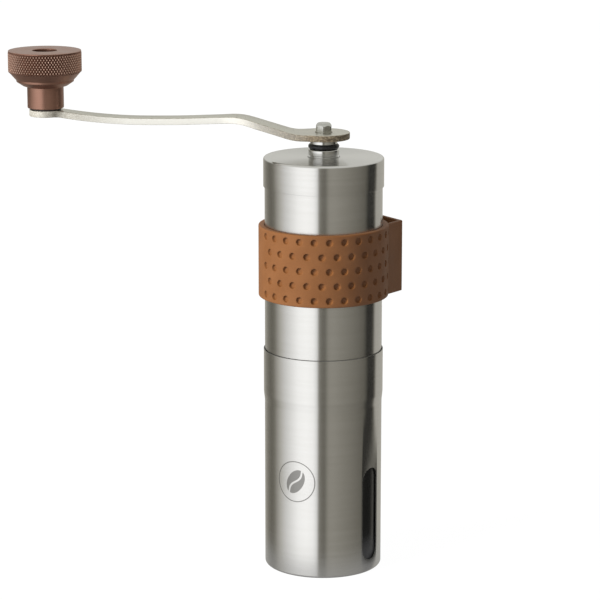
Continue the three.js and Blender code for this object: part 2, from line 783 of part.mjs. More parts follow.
// ---------------------------------------------------------------- assembly
const PIECES = [
  ['cup_shell', cupShell, brushedSteel],
  ['window_liner', windowLiner, smokedPlastic],
  ['hopper_tube', hopperTube, brushedSteel],
  ['grip_band', gripBand, silicone],
  ['lid_shell', lidShell, brushedSteel],
  ['drive_shaft', driveShaft, nickelSteel],
  ['shaft_collar', shaftCollar, polishedSteel],
  ['collar_oring', collarRing, blackRubber],
  ['shaft_spider', shaftSpider, blackPlastic],
  ['upper_bush', () => bush(SPIDER_LOW - 1.5, SPIDER_TOP), whitePlastic],
  ['thrust_washer', thrustWasher, springSteel],
  ['retaining_clip', retainingClip, springSteel],
  ['burr_carrier', burrCarrier, blackPlastic],
  ['lower_bush', () => bush(CARRIER_HUB_LOW, CARRIER_HUB_TOP), whitePlastic],
  ['ring_burr', ringBurr, ceramic],
  ['ring_burr_retainer', ringBurrRetainer, blackPlastic],
  ['inner_burr', innerBurr, ceramic],
  ['spring_washer', springWasher, springSteel],
  ['burr_spring', burrSpring, springSteel],
  ['burr_hub', burrHub, blackPlastic],
  ['adjusting_dial', adjustingDial, blackPlastic],
  ['dial_nut', dialNut, brass],
  ['crank_arm', crankArm, nickelSteel],
  ['knob_washer', knobWasher, blackPlastic],
  ['knob_stud', knobStud, nickelSteel],
  ['crank_knob', crankKnob, anodised],
  ['knob_bush', knobBush, whitePlastic],
];

const grinder = new THREE.Group();
for (const [name, make, material] of PIECES) {
  const mesh = new THREE.Mesh(make(), material);
  mesh.name = name;
  grinder.add(mesh);
}

export default grinder;
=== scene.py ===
"""Finished looks of the hand crank coffee grinder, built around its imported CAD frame.

Shapes are worked out in millimetres about the Z axis, and piece() turns them into metres. Each
piece takes its outer size and its place from the CAD node that it stands for.
"""
import json
import math

import bmesh
import bpy
from mathutils import Matrix, Vector


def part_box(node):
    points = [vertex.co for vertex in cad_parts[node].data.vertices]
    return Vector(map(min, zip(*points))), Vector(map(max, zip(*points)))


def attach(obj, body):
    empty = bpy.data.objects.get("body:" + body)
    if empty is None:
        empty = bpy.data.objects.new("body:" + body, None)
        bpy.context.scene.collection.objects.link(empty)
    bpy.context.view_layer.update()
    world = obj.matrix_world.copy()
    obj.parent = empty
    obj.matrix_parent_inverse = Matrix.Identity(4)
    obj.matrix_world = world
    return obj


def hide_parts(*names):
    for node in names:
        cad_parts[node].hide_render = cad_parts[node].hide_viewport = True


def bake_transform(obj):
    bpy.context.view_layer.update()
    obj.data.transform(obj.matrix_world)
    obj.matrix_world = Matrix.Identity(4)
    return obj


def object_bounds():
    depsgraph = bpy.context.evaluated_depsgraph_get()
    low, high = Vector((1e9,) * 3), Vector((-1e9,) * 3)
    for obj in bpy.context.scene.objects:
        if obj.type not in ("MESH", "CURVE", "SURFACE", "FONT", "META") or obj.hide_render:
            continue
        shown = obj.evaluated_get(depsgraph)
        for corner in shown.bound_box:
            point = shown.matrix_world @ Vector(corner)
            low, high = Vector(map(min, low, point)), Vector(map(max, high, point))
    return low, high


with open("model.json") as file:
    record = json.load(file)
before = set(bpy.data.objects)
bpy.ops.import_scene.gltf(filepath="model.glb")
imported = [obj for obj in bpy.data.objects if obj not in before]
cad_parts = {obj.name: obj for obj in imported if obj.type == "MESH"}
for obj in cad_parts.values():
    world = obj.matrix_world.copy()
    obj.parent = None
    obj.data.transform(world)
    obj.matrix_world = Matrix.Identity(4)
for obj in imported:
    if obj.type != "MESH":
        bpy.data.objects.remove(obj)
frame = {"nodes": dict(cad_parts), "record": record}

CAD_BOUNDS = [list(corner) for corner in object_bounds()]
BODY_OF = {
    node: body
    for body, members in frame["record"]["behaviour"]["bodies"].items()
    for node in members
}
MM = 0.001
TURN = 2 * math.pi
FRONT = -90  # heading of the side that the camera sees, in degrees from +X

CAMERA_PLACE = (0, -1059, 353.8)
CAMERA_PITCH = 12.75  # degrees down
CAMERA_YAW = 0.53  # degrees towards -X
CAMERA_LENS = 155.7  # on a 36 mm sensor


# ---- mesh helpers
def span(node):
    """Lowest and highest corner of a CAD node at rest, in millimetres."""
    low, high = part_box(node)
    return low / MM, high / MM


def new_object(name, data):
    """An object in the scene that shows a mesh, a light or a camera."""
    obj = bpy.data.objects.new(name, data)
    bpy.context.scene.collection.objects.link(obj)
    return obj


def piece(name, vertices, faces):
    """A new mesh object from points in millimetres, with doubled points merged."""
    mesh = bpy.data.meshes.new(name)
    mesh.from_pydata([Vector(v) * MM for v in vertices], [], faces)
    obj = new_object(name, mesh)
    clean(obj)
    return obj


def clean(obj):
    """Merges doubled points, drops loose ones and turns every face outwards."""
    shape = bmesh.new()
    shape.from_mesh(obj.data)
    bmesh.ops.remove_doubles(shape, verts=shape.verts, dist=1e-4 * MM)
    loose = [v for v in shape.verts if not v.link_faces]
    bmesh.ops.delete(shape, geom=loose, context="VERTS")
    bmesh.ops.recalc_face_normals(shape, faces=shape.faces)
    shape.to_mesh(obj.data)
    shape.free()


def is_sharp(edge, angle=1):
    """Whether an edge joins two faces that meet at more than an angle in radians."""
    return len(edge.link_faces) == 2 and edge.calc_face_angle() > angle


def bevel(obj, chosen, width, segments=2):
    """Rounds the edges of a mesh for which chosen(edge) is true."""
    shape = bmesh.new()
    shape.from_mesh(obj.data)
    edges = [edge for edge in shape.edges if chosen(edge)]
    bmesh.ops.bevel(
        shape, geom=edges, offset=width * MM, segments=segments, profile=0.5, affect="EDGES"
    )
    shape.to_mesh(obj.data)
    shape.free()


def combine(obj, other, operation):
    """Joins or cuts a piece with another one, which is used up."""
    modifier = obj.modifiers.new(operation, "BOOLEAN")
    modifier.operation = operation
    modifier.solver = "EXACT"
    modifier.object = other
    graph = bpy.context.evaluated_depsgraph_get()
    result = bpy.data.meshes.new_from_object(obj.evaluated_get(graph))
    obj.modifiers.clear()
    obj.data = result
    bpy.data.objects.remove(other)
    clean(obj)


def about_z(radius, angle, z):
    """The point at a distance from the Z axis, an angle in radians and a height."""
    return radius * math.cos(angle), radius * math.sin(angle), z


def rounded(corners, steps=4):
    """A closed outline in which each corner (x, y, radius) becomes an arc; (x, y) stays sharp."""
    points = []
    for i, corner in enumerate(corners):
        at = Vector(corner[:2])
        if len(corner) == 2:
            points.append(tuple(corner))
            continue
        back = (Vector(corners[i - 1][:2]) - at).normalized()
        ahead = (Vector(corners[(i + 1) % len(corners)][:2]) - at).normalized()
        half = back.angle(ahead) / 2
        radius = corner[2]
        centre = at + (back + ahead).normalized() * radius / math.sin(half)
        start = at + back * radius / math.tan(half) - centre
        sweep = math.pi - 2 * half
        if back.x * ahead.y - back.y * ahead.x > 0:
            sweep = -sweep
        first = math.atan2(start.y, start.x)
        for k in range(steps + 1):
            angle = first + sweep * k / steps
            x, y, _ = about_z(radius, angle, 0)
            points.append((centre.x + x, centre.y + y))
    return points


def revolved(name, columns, rows, point, on_axis=False, split=None):
    """A grid wrapped about Z. point(column, row) gives (radius, angle, height), and
    split(column, row) may name a quad's diagonal.
    """
    vertices = [about_z(*point(i, j)) for i in range(columns) for j in range(rows)]
    faces = []
    for i in range(columns):
        here, there = i * rows, (i + 1) % columns * rows
        for j in range(rows - 1 if on_axis else rows):
            k = (j + 1) % rows
            a, b, c, d = here + j, there + j, there + k, here + k
            diagonal = split(i, j) if split else None
            if diagonal == "rising":
                faces += [(a, b, c), (a, c, d)]
            elif diagonal == "falling":
                faces += [(a, b, d), (b, c, d)]
            else:
                faces.append((a, b, c, d))
    return piece(name, vertices, faces)


def turned(name, corners, columns=192, steps=4):
    """A turned piece from the corners of its outline, which closes on itself or on the axis."""
    outline = rounded(corners, steps)
    on_axis = outline[0][0] == 0 and outline[-1][0] == 0
    return revolved(
        name,
        columns,
        len(outline),
        lambda i, j: (outline[j][0], TURN * i / columns, outline[j][1]),
        on_axis,
    )


def prism(name, outline, low, high):
    """A flat outline raised from one height to another."""
    count = len(outline)
    vertices = [(x, y, z) for z in (low, high) for x, y in outline]
    sides = [(i, (i + 1) % count, (i + 1) % count + count, i + count) for i in range(count)]
    caps = [tuple(range(count)), tuple(range(count, 2 * count))]
    return piece(name, vertices, sides + caps)


def shade(obj, sharp=32):
    """Smooth shading, with every edge sharper than an angle kept crisp."""
    obj.data.shade_smooth()
    obj.data.set_sharp_from_angle(angle=math.radians(sharp))


def dress(obj, node, slot, *materials, sharp=32):
    """Shades a finished piece, gives it its materials and lets it stand for its CAD node."""
    shade(obj, sharp)
    for material in materials:
        obj.data.materials.append(material)
    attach(obj, BODY_OF[node])
    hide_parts(node)


# ---- node helpers
def add(tree, kind, inputs=None, **settings):
    """A new shader node, whose inputs feed() links or sets."""
    made = tree.nodes.new("ShaderNode" + kind)
    for name, value in settings.items():
        setattr(made, name, value)
    feed(tree, made, inputs or {})
    return made


def feed(tree, made, inputs):
    """Links each input of a node to a socket, or sets it to a value."""
    for name, value in inputs.items():
        if isinstance(value, bpy.types.NodeSocket):
            tree.links.new(value, made.inputs[name])
        else:
            made.inputs[name].default_value = value


def calc(tree, operation, *values):
    """The result of a Math node on one to three sockets or numbers."""
    return add(tree, "Math", dict(enumerate(values)), operation=operation).outputs[0]


def mix(tree, factor, low, high):
    """A colour between two colours; a colour is (r, g, b) or a socket."""
    low, high = [(*c, 1) if isinstance(c, tuple) else c for c in (low, high)]
    made = add(tree, "Mix", {0: factor, 6: low, 7: high}, data_type="RGBA")
    return made.outputs[2]


def remap(tree, value, from_low, from_high, to_low, to_high):
    """A value moved from one range to another and held inside it."""
    inputs = {0: value, 1: from_low, 2: from_high, 3: to_low, 4: to_high}
    return add(tree, "MapRange", inputs).outputs[0]


def noise(tree, vector, scale, detail=3, stretch=(1, 1, 1)):
    """Noise in metres, stretched along an axis whose factor is small."""
    stretched = add(tree, "Mapping", {"Vector": vector, "Scale": stretch}).outputs[0]
    inputs = {"Vector": stretched, "Scale": scale, "Detail": detail}
    return add(tree, "TexNoise", inputs).outputs[0]


def bump(tree, height, depth):
    """A normal from a height between 0 and 1 and its depth in millimetres."""
    return add(tree, "Bump", {"Height": height, "Distance": depth * MM}).outputs[0]


def new_material(name):
    """A material, its node tree, its shader and its object coordinates."""
    material = bpy.data.materials.new(name)
    material.use_nodes = True
    tree = material.node_tree
    coords = add(tree, "TexCoord").outputs["Object"]
    return material, tree, tree.nodes["Principled BSDF"], coords


def parts_of(tree, vector):
    """The X, Y and Z of a vector."""
    return add(tree, "SeparateXYZ", {0: vector}).outputs


def length(tree, vector):
    return add(tree, "VectorMath", {0: vector}, operation="LENGTH").outputs["Value"]


def radius_from_axis(tree, coords):
    """Distance of a point from the Z axis."""
    x, y, _ = parts_of(tree, coords)
    return length(tree, add(tree, "CombineXYZ", {0: x, 1: y}).outputs[0])


def turning_marks(tree, coords, slow, fast):
    """Fine noise lines that run round the Z axis on walls and on flat ends alike."""
    x, y, z = parts_of(tree, coords)
    across = calc(tree, "ADD", radius_from_axis(tree, coords), z)
    lines = add(tree, "CombineXYZ", {0: x, 1: y, 2: across}).outputs[0]
    return noise(tree, lines, 1, 4, (slow, slow, fast))


# ---- materials
def brushed_steel(name, emblem=None):
    """Steel sheet brushed round the body. emblem(tree, coords) may add a mask of an etched mark."""
    material, tree, shader, coords = new_material(name)
    fine = turning_marks(tree, coords, 90, 5200)
    broad = turning_marks(tree, coords, 25, 900)
    cloud = noise(tree, coords, 60, 2)
    tone = remap(tree, calc(tree, "ADD", fine, broad), 0.7, 1.3, 0, 1)
    colour = mix(tree, tone, (0.64, 0.635, 0.615), (0.675, 0.67, 0.655))
    rough = remap(tree, calc(tree, "ADD", broad, cloud), 0.7, 1.3, 0.19, 0.215)
    if emblem:
        mark = emblem(tree, coords)
        colour = mix(tree, mark, colour, (0.2, 0.195, 0.185))
        rough = calc(tree, "ADD", rough, calc(tree, "MULTIPLY", mark, 0.25))
    feed(tree, shader, {
        "Base Color": colour,
        "Metallic": 1.0,
        "Roughness": rough,
        "Anisotropic": 0.92,
        "Anisotropic Rotation": 0.25,
        "Tangent": add(tree, "Tangent", direction_type="RADIAL", axis="Z").outputs[0],
        "Normal": bump(tree, fine, 0.0006),
    })
    return material


def bean_emblem(tree, coords):
    """Mask of an etched coffee bean in a thin ring, low on the cup's front left."""
    heading, height, wall = math.radians(FRONT - 28), 41.5 * MM, 24.6 * MM
    ring, line = 8.6 * MM, 0.22 * MM
    bean_long, bean_wide, tilt = 5.6 * MM, 3.7 * MM, math.radians(32)
    x, y, z = parts_of(tree, coords)
    angle = calc(tree, "ARCTAN2", y, x)
    across = calc(tree, "MULTIPLY", calc(tree, "SUBTRACT", angle, heading), wall)
    up = calc(tree, "SUBTRACT", z, height)
    place = add(tree, "CombineXYZ", {0: across, 1: up}).outputs[0]
    ring_mask = calc(tree, "COMPARE", length(tree, place), ring, line)
    inputs = {"Vector": place, "Axis": (0, 0, 1), "Angle": tilt}
    leaned = add(tree, "VectorRotate", inputs).outputs[0]
    side, along, _ = parts_of(tree, leaned)
    inputs = {0: leaned, 1: (bean_wide, bean_long, 1)}
    oval = add(tree, "VectorMath", inputs, operation="DIVIDE").outputs[0]
    inside = calc(tree, "LESS_THAN", length(tree, oval), 1)
    wave = calc(tree, "SINE", calc(tree, "MULTIPLY", along, math.pi / bean_long))
    crease = calc(tree, "MULTIPLY", wave, 0.9 * MM)
    gap = calc(tree, "COMPARE", side, crease, 0.42 * MM)
    bean = calc(tree, "MULTIPLY", inside, calc(tree, "SUBTRACT", 1, gap))
    return calc(tree, "MULTIPLY", calc(tree, "MAXIMUM", ring_mask, bean), 0.75)


def plain_metal(name, light, dark, roughness, marks=4200, slow=160, depth=0.003):
    """Turned or polished metal with faint lines round its axis."""
    material, tree, shader, coords = new_material(name)
    lines = turning_marks(tree, coords, slow, marks)
    cloud = noise(tree, coords, 220, 2)
    feed(tree, shader, {
        "Base Color": mix(tree, remap(tree, lines, 0.3, 0.7, 0, 1), dark, light),
        "Metallic": 1.0,
        "Roughness": remap(tree, cloud, 0.3, 0.7, 0.85 * roughness, 1.2 * roughness),
        "Normal": bump(tree, lines, depth),
    })
    return material


def satin_nickel():
    """The crank's tumbled nickel faces."""
    material, tree, shader, coords = new_material("satin_nickel")
    grain = noise(tree, coords, 1500)
    cloud = noise(tree, coords, 90, 2)
    feed(tree, shader, {
        "Base Color": mix(tree, cloud, (0.53, 0.515, 0.45), (0.64, 0.62, 0.54)),
        "Metallic": 1.0,
        "Roughness": remap(tree, grain, 0.3, 0.7, 0.26, 0.38),
        "Normal": bump(tree, grain, 0.012),
    })
    return material


def sheared_nickel():
    """The crank's sheared edge: ragged and grained, with a painted highlight along its middle, a
    little darker near the pad, and darker and browner towards the hub, where a brown reflection is
    painted over its grain.
    """
    material, tree, shader, coords = new_material("sheared_nickel")
    x, _, _ = parts_of(tree, coords)
    towards_hub = remap(tree, x, -45 * MM, -5 * MM, 0, 1)
    coarse = noise(tree, coords, 2500)
    pits = remap(tree, coarse, 0.46, 0.66, 0, 1)
    # Painted reflection: towards the hub the edge is painted a dark brown over its pitted grain.
    torn_grain_and_painted_reflection = mix(tree, pits, (0.11, 0.08, 0.05), (0.5, 0.42, 0.29))
    from_pad = remap(tree, x, -108 * MM, -80 * MM, 0, 1)
    # Painted highlight: the middle of the edge is painted near white, as if lit by the bright light
    # at the front left; near the pad it is darker.
    painted_highlight_edge = mix(tree, coarse, (0.9, 0.885, 0.82), (0.96, 0.95, 0.89))
    pad_edge = mix(tree, pits, (0.5, 0.47, 0.4), (0.78, 0.76, 0.69))
    edge_with_painted_highlight = mix(tree, from_pad, pad_edge, painted_highlight_edge)
    rough_grain = calc(tree, "MULTIPLY", coarse, remap(tree, towards_hub, 0, 1, 0.25, 1))
    feed(tree, shader, {
        "Base Color": mix(tree, towards_hub, edge_with_painted_highlight, torn_grain_and_painted_reflection),
        "Metallic": 0.3,
        "Roughness": remap(tree, towards_hub, 0, 1, 0.35, 0.5),
        "Normal": bump(tree, rough_grain, 0.12),
    })
    return material


def edge_burr():
    """The thin dark burr that shearing leaves along the rim of the crank's upper face."""
    material, tree, shader, coords = new_material("edge_burr")
    grain = noise(tree, coords, 700)
    tone = remap(tree, grain, 0.35, 0.6, 0, 1)
    feed(tree, shader, {
        "Base Color": mix(tree, tone, (0.3, 0.27, 0.2), (0.6, 0.57, 0.49)),
        "Metallic": 0.8,
        "Roughness": remap(tree, grain, 0.3, 0.7, 0.3, 0.45),
    })
    return material


def brown_anodised(tip, bottom, top):
    """Satin brown anodising. Between two heights it is knurled, and there a painted highlight
    lightens it near the radius of the tips and painted shade darkens the grooves.
    """
    material, tree, shader, coords = new_material("brown_anodised")
    lines = turning_marks(tree, coords, 200, 5200)
    cloud = noise(tree, coords, 160, 2)
    tone = calc(tree, "MULTIPLY", lines, cloud)
    _, _, z = parts_of(tree, coords)
    radius = radius_from_axis(tree, coords)
    knurled = calc(tree, "COMPARE", z, (top + bottom) / 2 * MM, (top - bottom) / 2 * MM)
    # Painted light on the knurl: shade painted into the grooves, and a highlight painted on the
    # tips.
    groove = remap(tree, radius, (tip - KNURL_DEPTH) * MM, (tip - 0.4 * KNURL_DEPTH) * MM, 0.68, 0)
    tip_highlight_mask = remap(tree, radius, (tip - 0.3 * KNURL_DEPTH) * MM, tip * MM, 0, 0.7)
    plain = mix(tree, remap(tree, tone, 0.1, 0.4, 0, 1), (0.31, 0.165, 0.12), (0.36, 0.197, 0.146))
    groove_painted_shade = mix(tree, calc(tree, "MULTIPLY", groove, knurled), plain, (0.07, 0.032, 0.023))
    tips_painted_highlight = mix(tree, calc(tree, "MULTIPLY", tip_highlight_mask, knurled), groove_painted_shade, (0.95, 0.7, 0.56))
    feed(tree, shader, {
        "Base Color": tips_painted_highlight,
        "Metallic": 0.9,
        "Roughness": remap(tree, cloud, 0.3, 0.7, 0.3, 0.38),
        "Normal": bump(tree, lines, 0.004),
    })
    return material


def brown_silicone():
    """Matt moulded silicone with a very fine grain and slight clouding."""
    material, tree, shader, coords = new_material("brown_silicone")
    grain = noise(tree, coords, 3200)
    cloud = noise(tree, coords, 110)
    tone = remap(tree, calc(tree, "ADD", cloud, grain), 0.75, 1.25, 0, 1)
    feed(tree, shader, {
        "Base Color": mix(tree, tone, (0.2, 0.078, 0.024), (0.24, 0.098, 0.033)),
        "Roughness": remap(tree, cloud, 0.3, 0.7, 0.5, 0.6),
        "Specular IOR Level": 0.25,
        "Normal": bump(tree, grain, 0.02),
    })
    return material


def smoked_plastic():
    """Glossy smoked plastic, near black with the painted shade of the cup's dark inside, and a haze
    of ground coffee and painted light from the window that thickens towards its floor.
    """
    material, tree, shader, coords = new_material("smoked_plastic")
    _, _, z = parts_of(tree, coords)
    clumps = noise(tree, coords, 420, 4)
    level = calc(tree, "MULTIPLY_ADD", clumps, 6 * MM, z)
    # Lighter towards the floor: coffee grounds, and painted light where the window lights the cup's
    # floor.
    dust_and_light_mask = remap(tree, level, 19 * MM, 11 * MM, 0, 1)
    # Near black: smoked plastic, with the painted shade of the cup's dark inside.
    clear = mix(tree, clumps, (0.012, 0.012, 0.012), (0.02, 0.02, 0.019))
    dust_and_painted_light = mix(tree, clumps, (0.02, 0.02, 0.022), (0.13, 0.13, 0.14))
    feed(tree, shader, {
        "Base Color": mix(tree, dust_and_light_mask, clear, dust_and_painted_light),
        "Roughness": remap(tree, dust_and_light_mask, 0, 1, 0.2, 0.4),
        "Coat Weight": 0.12,
        "Coat Roughness": 0.12,
    })
    return material


def moulded(name, low, high, roughness, grain_depth=0.015, scale=2400):
    """A moulded or fired material: clouded colour with a fine grain."""
    material, tree, shader, coords = new_material(name)
    grain = noise(tree, coords, scale)
    cloud = noise(tree, coords, 140)
    feed(tree, shader, {
        "Base Color": mix(tree, cloud, low, high),
        "Roughness": remap(tree, grain, 0.3, 0.7, 0.9 * roughness, 1.1 * roughness),
        "Normal": bump(tree, grain, grain_depth),
    })
    return material


STEEL = brushed_steel("brushed_steel")
CUP_STEEL = brushed_steel("brushed_steel_etched", bean_emblem)
POLISHED = plain_metal("polished_steel", (0.7, 0.7, 0.68), (0.6, 0.6, 0.585), 0.12, depth=0.001)
CUT_EDGE = plain_metal("cut_steel", (0.16, 0.155, 0.145), (0.1, 0.097, 0.09), 0.45)
TURNED = plain_metal("turned_steel", (0.62, 0.62, 0.6), (0.48, 0.48, 0.46), 0.3)
SHAFT_STEEL = plain_metal("shaft_steel", (0.6, 0.6, 0.57), (0.48, 0.48, 0.45), 0.2)
BRASS = plain_metal("brass", (0.75, 0.53, 0.24), (0.6, 0.4, 0.16), 0.28)
NICKEL = satin_nickel()
SHEARED = sheared_nickel()
BURR = edge_burr()
SILICONE = brown_silicone()
SMOKED = smoked_plastic()
RUBBER = moulded("black_rubber", (0.008, 0.008, 0.009), (0.016, 0.016, 0.017), 0.28, 0.006)
BLACK_PLASTIC = moulded("black_plastic", (0.018, 0.018, 0.019), (0.032, 0.032, 0.034), 0.45)
WHITE_PLASTIC = moulded("bearing_plastic", (0.68, 0.67, 0.62), (0.76, 0.75, 0.71), 0.42)
CERAMIC = moulded("burr_ceramic", (0.74, 0.71, 0.63), (0.84, 0.81, 0.74), 0.5, 0.03, 1600)


# ---- cup and window
SHEET = 0.5  # steel sheet of the cup, tube and lid
MOUTH_WALL = 0.35  # the cup's thinned mouth
WINDOW_HEADING = -35.7  # degrees from +X
WINDOW_HALF = 5.05  # half width of the window slot
WINDOW_LOW = 5.4
WINDOW_HIGH = 45.4
SLOT_COLUMNS = 28  # mesh columns across the slot
WALL_COLUMNS = 180  # mesh columns round the rest of the cup


def cup_outline(wall_r, mouth_r, mouth_top, low_row, high_row):
    """The cup's section, with a point on each skin at either end of the slot's straight sides."""
    taper_low, taper_top, edge = 71.6, 75.4, 1.2
    return rounded([
        (0, 0),
        (wall_r, 0, edge),
        (wall_r, low_row),
        (wall_r, high_row),
        (wall_r, taper_low, 8),
        (mouth_r, taper_top, 8),
        (mouth_r, mouth_top, 0.12),
        (mouth_r - MOUTH_WALL, mouth_top, 0.12),
        (mouth_r - MOUTH_WALL, taper_top),
        (wall_r - SHEET, taper_low),
        (wall_r - SHEET, high_row),
        (wall_r - SHEET, low_row),
        (wall_r - SHEET, SHEET, edge - SHEET),
        (0, SHEET),
    ], 6)


def cup_shell():
    """The cup: a revolved shell whose grid opens round the slot of the window."""
    _, high = span("cup_shell")
    wall_r = high.x - 0.4
    low_row, high_row = WINDOW_LOW + WINDOW_HALF, WINDOW_HIGH - WINDOW_HALF
    outline = cup_outline(wall_r, high.x, high.z, low_row, high_row)
    rows = len(outline)
    ends = [j for j, (_, z) in enumerate(outline) if z in (low_row, high_row)]
    outer_low, outer_high, inner_high, inner_low = ends
    lowered, raised = (outer_low, inner_low), (outer_high, inner_high)
    reach = math.asin(WINDOW_HALF / wall_r)
    sides = [-WINDOW_HALF * math.cos(math.pi * k / SLOT_COLUMNS) for k in range(SLOT_COLUMNS)]
    headings = [math.asin(side / wall_r) for side in sides]
    headings += [reach + (TURN - 2 * reach) * k / WALL_COLUMNS for k in range(WALL_COLUMNS)]
    columns = len(headings)

    # The slot's arched ends: within its reach, the rows at its ends are bent up and down.
    vertices = []
    for heading in headings:
        side = wall_r * math.sin(heading)
        rise = math.sqrt(max(WINDOW_HALF ** 2 - side ** 2, 0)) if abs(heading) < reach else 0
        angle = heading + math.radians(WINDOW_HEADING)
        for j, (radius, z) in enumerate(outline):
            z += rise if j in raised else -rise if j in lowered else 0
            vertices.append(about_z(radius, angle, z))
    faces = []
    for i in range(columns):
        here, there = i * rows, (i + 1) % columns * rows
        for j in range(rows - 1):
            if i < SLOT_COLUMNS and j in (outer_low, inner_high):
                continue
            faces.append((here + j, there + j, there + j + 1, here + j + 1))
        if i < SLOT_COLUMNS:
            for outer, inner in (lowered, raised):
                faces.append((here + outer, there + outer, there + inner, here + inner))
        if i in (0, SLOT_COLUMNS):
            faces.append((here + outer_low, here + outer_high, here + inner_high, here + inner_low))
    shell = piece("cup", vertices, faces)

    def near_slot(point):
        """Whether a point of the mesh lies in the slot or at its edge."""
        heading = math.atan2(point.y, point.x) - math.radians(WINDOW_HEADING)
        return WINDOW_LOW - 0.2 < point.z / MM < WINDOW_HIGH + 0.2 and abs(heading) < reach + 0.02

    def on_slot_edge(edge):
        """Whether an edge lies between the slot's own walls and one of the cup's two skins."""
        return is_sharp(edge) and near_slot((edge.verts[0].co + edge.verts[1].co) / 2)

    bevel(shell, on_slot_edge, 0.12)
    dress(shell, "cup_shell", "brushed_steel", CUP_STEEL, CUT_EDGE)
    # The slot's walls and the mouth's rim are cut through the sheet, and darker than its skins.
    rim_low = (high.z - 0.06) * MM
    for face in shell.data.polygons:
        outwards = Vector((*face.center.xy, 0)).normalized()
        in_slot = near_slot(face.center) and abs(face.normal.dot(outwards)) < 0.8
        if in_slot or face.center.z > rim_low:
            face.material_index = 1


def window_liner():
    """The smoked cup liner that shows through the window."""
    low, high = span("window_liner")
    outer, wall, edge = high.x, 1, 1.2
    liner = turned("window_liner_cup", [
        (0, low.z),
        (outer, low.z, edge),
        (outer, high.z, 0.2),
        (outer - wall, high.z, 0.2),
        (outer - wall, low.z + wall, edge),
        (0, low.z + wall),
    ])
    dress(liner, "window_liner", "smoked_plastic", SMOKED)


# ---- tube, band and lid
def hopper_tube():
    """The plain tube that holds the beans."""
    low, high = span("hopper_tube")
    tube = turned("tube", [
        (high.x - SHEET, low.z, 0.1),
        (high.x, low.z, 0.1),
        (high.x, high.z, 0.1),
        (high.x - SHEET, high.z, 0.1),
    ])
    dress(tube, "hopper_tube", "brushed_steel", STEEL)


def lid_shell():
    """The lid. Two points beside its rounded edges keep the shading of its top flat."""
    low, high = span("lid_shell")
    outer, hole, wall, edge = high.x, 6.7, 0.4, 1
    lid = turned("lid", [
        (hole, high.z, 0.12),
        (hole + 0.4, high.z),
        (outer - edge - 0.15, high.z),
        (outer, high.z, edge),
        (outer, low.z, 0.12),
        (outer - wall, low.z, 0.12),
        (outer - wall, high.z - SHEET, edge - SHEET),
        (hole, high.z - SHEET, 0.12),
    ], steps=6)
    dress(lid, "lid_shell", "brushed_steel", STEEL)


POCKET_HEADING = 35  # degrees from +X
POCKET_WALL = 1.6
DIMPLED = (-65, 88)  # headings of the dimpled patch, from the front towards +X
DIMPLE_ROWS = 5
DIMPLE_COLUMNS = 27  # dimples that would fill one full row
DIMPLE_PITCH = 6.07  # from row to row
DIMPLE_FIRST = 5.3  # heading of one dimple in the lowest row, from the front
DIMPLE_STEPS = 8  # mesh steps along each side of a dimple's cell
# The dimple from its surroundings to its floor: distance from its centre, and depth.
DIMPLE_RINGS = (
    (2.2, 0), (1.6, 0), (1.46, 0.05), (1.38, 0.2),
    (1.28, 0.6), (1.12, 0.92), (0.8, 1.06), (0.38, 1.1),
)


def has_dimple(heading):
    """Whether a dimple centred at a heading in radians belongs to the dimpled patch."""
    low, high = DIMPLED
    return low < (math.degrees(heading) - FRONT + 180) % 360 - 180 < high


def band_heights(centres, low, high):
    """Heights of the band's mesh rows: even steps between borders half way between dimples."""
    borders = [low, *((a + b) / 2 for a, b in zip(centres, centres[1:])), high]
    heights = [
        bottom + (top - bottom) * k / DIMPLE_STEPS
        for bottom, top in zip(borders, borders[1:])
        for k in range(DIMPLE_STEPS)
    ]
    return heights + [high]


